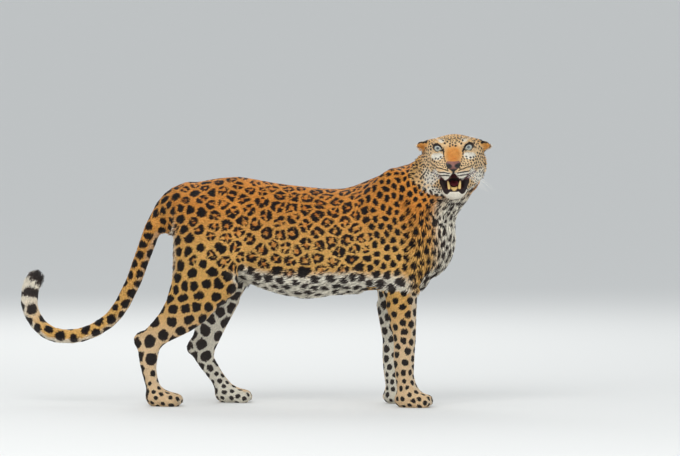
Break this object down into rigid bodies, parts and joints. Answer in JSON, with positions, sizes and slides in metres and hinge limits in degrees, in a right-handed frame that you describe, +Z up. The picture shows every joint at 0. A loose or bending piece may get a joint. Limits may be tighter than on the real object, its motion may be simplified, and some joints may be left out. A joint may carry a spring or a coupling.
{
  "type": "leopard",
  "caption": "Life-size still model of a standing leopard, its head turned to its right with the mouth open and its tail hanging in an upward curl.",
  "frame": {"origin": "on the floor below the middle of the animal's box", "axes": "+X forwards along the body towards the chest, +Y to the animal's left, +Z up"},
  "size_m": [1.2814, 0.336, 0.7375],
  "materials": {
    "coat": "short soft fur, golden with dark rosettes and spots",
    "pale_coat": "soft off-white fur with dark marks",
    "eyeball": "wet, glossy, pale grey-green with a round dark pupil",
    "nose_skin": "moist brown-pink skin with dark edges",
    "tongue_skin": "moist pink, rough on top"
  },
  "bodies": {
    "root": {"trunk": "coat", "neck": "coat", "head": "coat", "ear_left": "coat", "ear_right": "coat", "tail_base": "coat", "tail_middle": "coat", "tail_tip": "coat", "foreleg_right": "coat", "foreleg_left": "coat", "hindleg_right": "coat", "hindleg_left": "coat", "forepaw_right": "coat", "forepaw_left": "coat", "hindpaw_right": "coat", "hindpaw_left": "coat", "jaw_lower": "pale_coat", "eye_left": "eyeball", "eye_right": "eyeball", "nose": "nose_skin", "tongue": "tongue_skin"}
  },
  "joints": []
}
